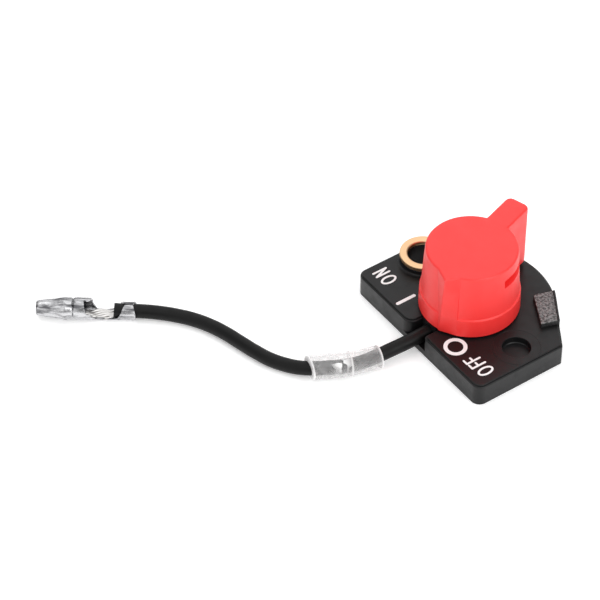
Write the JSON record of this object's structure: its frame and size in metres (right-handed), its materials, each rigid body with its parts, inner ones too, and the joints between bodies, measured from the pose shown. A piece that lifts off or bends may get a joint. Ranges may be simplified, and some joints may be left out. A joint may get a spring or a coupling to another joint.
{
  "type": "rotary engine stop switch",
  "caption": "Flat two-position rotary stop switch: black plate, red pointer knob with finger handle, brass ring that earths it, and a short lead to a bullet terminal.",
  "frame": {"origin": "on the knob's axis at the mounting face, the flat underside of the plate", "axes": "+Z out of the panel along the knob's axis; +X towards the ON side and the brass ring; +Y towards the edge where the lead leaves"},
  "size_m": [0.0748, 0.0914, 0.0211],
  "materials": {
    "black_plate": "satin black moulded nylon",
    "grey_grain": "grey moulding with a coarse grain",
    "ring_brass": "bare stamped brass",
    "white_print": "white pad print",
    "laminate": "brown phenolic laminate",
    "zinc_steel": "zinc-plated steel",
    "contact_brass": "stamped brass strip",
    "seal_rubber": "nitrile rubber",
    "lead_pvc": "black flexible PVC insulation",
    "copper": "stranded copper",
    "clear_pvc": "clear soft PVC tube",
    "tin_plate": "tin-plated brass",
    "red_knob": "red moulded plastic, satin gloss",
    "rotor_nylon": "black moulded acetal",
    "spring_bronze": "phosphor bronze",
    "spring_steel": "spring steel",
    "ball_steel": "polished bearing steel"
  },
  "bodies": {
    "base": {"housing": "black_plate", "stop_pads": "grey_grain", "earth_ring": "ring_brass", "on_marking": "white_print", "off_marking": "white_print", "back_cover": "laminate", "cover_screws": "zinc_steel", "earth_strip": "contact_brass", "lead_contact": "contact_brass", "lead_clamp": "black_plate", "shaft_seal": "seal_rubber", "lead": "lead_pvc", "lead_core": "copper", "insulating_sleeve": "clear_pvc", "bullet_terminal": "tin_plate"},
    "rotary": {"knob": "red_knob", "rotor": "rotor_nylon", "knob_screw": "zinc_steel", "screw_washer": "zinc_steel", "bridge_contact": "spring_bronze", "contact_spring": "spring_steel", "detent_balls": "ball_steel", "detent_springs": "spring_steel"}
  },
  "joints": [
    {"name": "knob_turn", "type": "hinge", "parent": "base", "child": "rotary", "pos_m": [0, 0, 0], "axis": [0, 0, 1], "range_deg": [-36, 0]}
  ]
}
